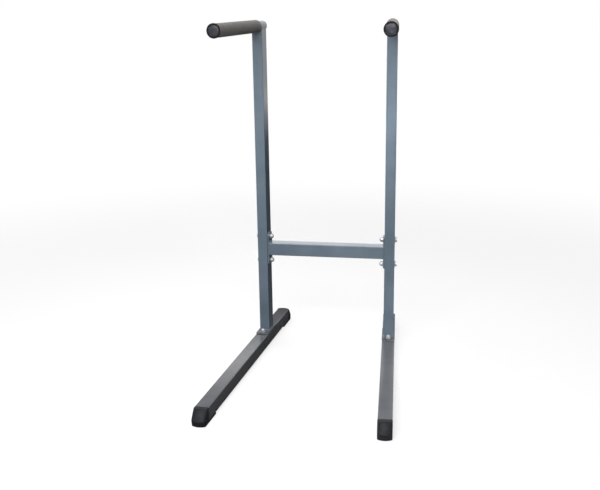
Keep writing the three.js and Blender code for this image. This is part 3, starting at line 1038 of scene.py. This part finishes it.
def acorn_nut_mesh(height):
    """A hexagon under a dome, with a blind bore."""
    rings = [circle(0, NUT_BORE_DEPTH, FASTENER_STEPS)]
    rings += [circle(NUT_BORE_RADIUS, level, FASTENER_STEPS) for level in (NUT_BORE_DEPTH, 0)]
    rings += chamfered_hex(0, NUT_HEX_HEIGHT)
    cap = dome(NUT_DOME_RADIUS, NUT_HEX_HEIGHT, height - NUT_HEX_HEIGHT)
    rings += [circle(radius, level, FASTENER_STEPS) for radius, level in cap]
    return loft(rings)


def washer_mesh(diameter, thickness):
    outer, edge = diameter / 2, WASHER_EDGE
    profile = [(HOLE_RADIUS, 0), (outer - edge, 0), (outer, edge)]
    profile += [(outer, thickness - edge), (outer - edge, thickness), (HOLE_RADIUS, thickness)]
    return turned(profile, FASTENER_STEPS, wrap=True)


def add_base_bolts(side):
    """From below: round head bolt, rail, base plate, washer and acorn nut."""
    for end in ("front", "rear"):
        middle = size_and_middle(side, f"base_bolt_{end}")[1]
        for kind in ("bolt", "washer", "acorn_nut"):
            low, high = local_box(side, f"base_{kind}_{end}")
            seat, height = low.z, high.z - low.z
            if kind == "bolt":
                mesh = round_bolt_mesh(height - ROUND_HEAD_HEIGHT)
                seat += ROUND_HEAD_HEIGHT
            elif kind == "acorn_nut":
                mesh = acorn_nut_mesh(height)
            else:
                mesh = washer_mesh(high.x - low.x, height)
            place = SIDE_FRAMES[side] @ Matrix.Translation((middle.x, middle.y, seat))
            node = f"{side}_base_{kind}_{end}"
            add_piece(f"{node}_bright", mesh, "zinc_steel", place, node)


def add_crossbar_bolts(side):
    """From outside: hex bolt, wide washer, upright, end plate, washer and acorn nut."""
    inward = -SIDES[side]
    turn = Matrix.Rotation(inward * math.pi / 2, 4, "Y")
    for level in ("upper", "lower"):
        for kind in ("bolt", "outer_washer", "inner_washer", "acorn_nut"):
            low, high = local_box(side, f"crossbar_{kind}_{level}")
            seat, length = low.x if inward > 0 else high.x, high.x - low.x
            if kind == "bolt":
                mesh = hex_bolt_mesh(length - HEX_HEAD_HEIGHT)
                seat += inward * HEX_HEAD_HEIGHT
            elif kind == "acorn_nut":
                mesh = acorn_nut_mesh(length)
            else:
                mesh = washer_mesh(high.z - low.z, length)
            place = SIDE_FRAMES[side] @ Matrix.Translation((seat, 0, (low.z + high.z) / 2)) @ turn
            node = f"{side}_crossbar_{kind}_{level}"
            add_piece(f"{node}_bright", mesh, "zinc_steel", place, node)


# Floor, background, light and camera

def seen_directly(tree):
    """1 for rays from the camera and for what shows in gloss or glass, otherwise 0."""
    path = tree.nodes.new("ShaderNodeLightPath")
    sight = path.outputs["Is Camera Ray"]
    for name in ("Is Glossy Ray", "Is Transmission Ray"):
        sight = math_node(tree, "MAXIMUM", sight, path.outputs[name])
    return sight


def matt_material(name):
    material, tree, shader = new_material(name)
    shader.inputs["Roughness"].default_value = STAGE_ROUGHNESS
    shader.inputs["Specular IOR Level"].default_value = 0
    return material, tree, shader


def stage_sheet(name, low, high, material):
    """A flat rectangle of the studio between two corners, lying level or standing across the view."""
    low, high = Vector(low), Vector(high)
    size = high - low
    bm = bmesh.new()
    bmesh.ops.create_grid(bm, x_segments=STAGE_SEGMENTS, y_segments=STAGE_SEGMENTS, size=1)
    half_size = (size.x / 2, max(size.y, size.z) / 2, 1, 1)
    mesh = moved(mesh_from(bm, name), Matrix.Diagonal(half_size))
    mesh.materials.append(material)
    sheet = new_object(name, mesh)
    sheet.location = (low + high) / 2
    if size.z > size.y:
        sheet.rotation_euler.x = math.pi / 2
    return sheet


def add_floor():
    """A plain pale floor that keeps the shadow near the object and fades to white farther off."""
    material, tree, shader = matt_material("pale_floor")
    distance = tree.nodes.new("ShaderNodeVectorMath")
    distance.operation = "LENGTH"
    tree.links.new(own_coordinates(tree), distance.inputs[0])
    fade = range_node(tree, distance.outputs["Value"], 0, 1, *FLOOR_FADE)
    fade.node.interpolation_type = "SMOOTHSTEP"
    tree.links.new(range_node(tree, fade, FLOOR_TONE, 0), shader.inputs["Base Color"])
    shader.inputs["Emission Color"].default_value = (1, 1, 1, 1)
    glow = math_node(tree, "MULTIPLY", range_node(tree, fade, 1 - FLOOR_TONE, 1), seen_directly(tree))
    tree.links.new(glow, shader.inputs["Emission Strength"])
    low, high = (-FLOOR_HALF, -FLOOR_HALF, -FLOOR_DROP), (FLOOR_HALF, FLOOR_HALF, -FLOOR_DROP)
    floor = stage_sheet("floor", low, high, material)


def add_gloss_shade_card(name, low, high, tone):
    """A dark card that shows only in gloss, hidden from the camera, from diffuse light and from shadows: a
    painted dark reflection.
    """
    material, _, shader = matt_material(name)
    shader.inputs["Base Color"].default_value = (tone, tone, tone, 1)
    card = stage_sheet(name, low, high, material)
    card.visible_camera = False
    card.visible_diffuse = False
    card.visible_transmission = False
    card.visible_shadow = False


# Painted dark reflections: cards on the floor and behind the object that only gloss sees.
def add_gloss_shade_cards():
    for name, (across, depth, tone) in FLOOR_GLOSS_SHADE_CARDS.items():
        low, high = zip(across, depth, (CARD_LIFT, CARD_LIFT))
        add_gloss_shade_card(name, low, high, tone)
    for name, (across, height, tone) in REAR_GLOSS_SHADE_CARDS.items():
        low, high = zip(across, (REAR_CARD_Y, REAR_CARD_Y), height)
        add_gloss_shade_card(name, low, high, tone)


def add_world():
    """White where it is seen; where it lights, softer and dimmer towards the right."""
    world = bpy.data.worlds.new("studio")
    bpy.context.scene.world = world
    world.use_nodes = True
    tree = world.node_tree
    background = tree.nodes["Background"]
    background.inputs["Color"].default_value = (1, 1, 1, 1)
    coordinates = tree.nodes.new("ShaderNodeTexCoord")
    parts = tree.nodes.new("ShaderNodeSeparateXYZ")
    tree.links.new(coordinates.outputs["Generated"], parts.inputs["Vector"])
    ambient = range_node(tree, parts.outputs["X"], AMBIENT_LEFT, AMBIENT_RIGHT, *AMBIENT_SPAN)
    strength = math_node(tree, "MAXIMUM", ambient, seen_directly(tree))
    tree.links.new(strength, background.inputs["Strength"])


def add_softbox(name, place, target, width, height, power, spread, seen):
    light = bpy.data.lights.new(name, "AREA")
    light.shape = "RECTANGLE"
    light.size = width
    light.size_y = height
    light.energy = power
    light.spread = math.radians(spread)
    lamp = new_object(name, light)
    lamp.location = place
    lamp.rotation_euler = (Vector(target) - Vector(place)).to_track_quat("-Z", "Y").to_euler()
    lamp.visible_camera = seen


def add_camera():
    camera = bpy.data.cameras.new("camera")
    camera.sensor_fit = "HORIZONTAL"
    camera.sensor_width = SENSOR_WIDTH
    camera.lens = FOCAL_PIXELS * SENSOR_WIDTH / PHOTO_WIDTH
    camera.shift_x = (PHOTO_WIDTH / 2 - OPTICAL_CENTRE[0]) / PHOTO_WIDTH
    camera.shift_y = (OPTICAL_CENTRE[1] - PHOTO_HEIGHT / 2) / PHOTO_WIDTH
    eye = new_object("camera", camera)
    heading = Matrix.Rotation(-CAMERA_YAW, 4, "Z")
    tilt = Matrix.Rotation(math.pi / 2 - CAMERA_PITCH, 4, "X")
    roll = Matrix.Rotation(CAMERA_ROLL, 4, "Z")
    eye.matrix_world = Matrix.Translation(CAMERA_PLACE) @ heading @ tilt @ roll
    bpy.context.scene.camera = eye


for side in SIDES:
    add_rail(side)
    add_foot_caps(side)
    add_base_plate(side)
    add_upright(side)
    add_handle_tube(side)
    add_grip(side)
    add_plugs(side)
    add_end_plate(side)
    add_upright_welds(side)
    add_crossbar_welds(side)
    add_base_bolts(side)
    add_crossbar_bolts(side)
add_crossbar()

add_floor()
add_world()
for name, softbox in SOFTBOXES.items():
    add_softbox(name, *softbox)
add_gloss_shade_cards()
add_camera()
bpy.context.scene.view_settings.view_transform = "Standard"
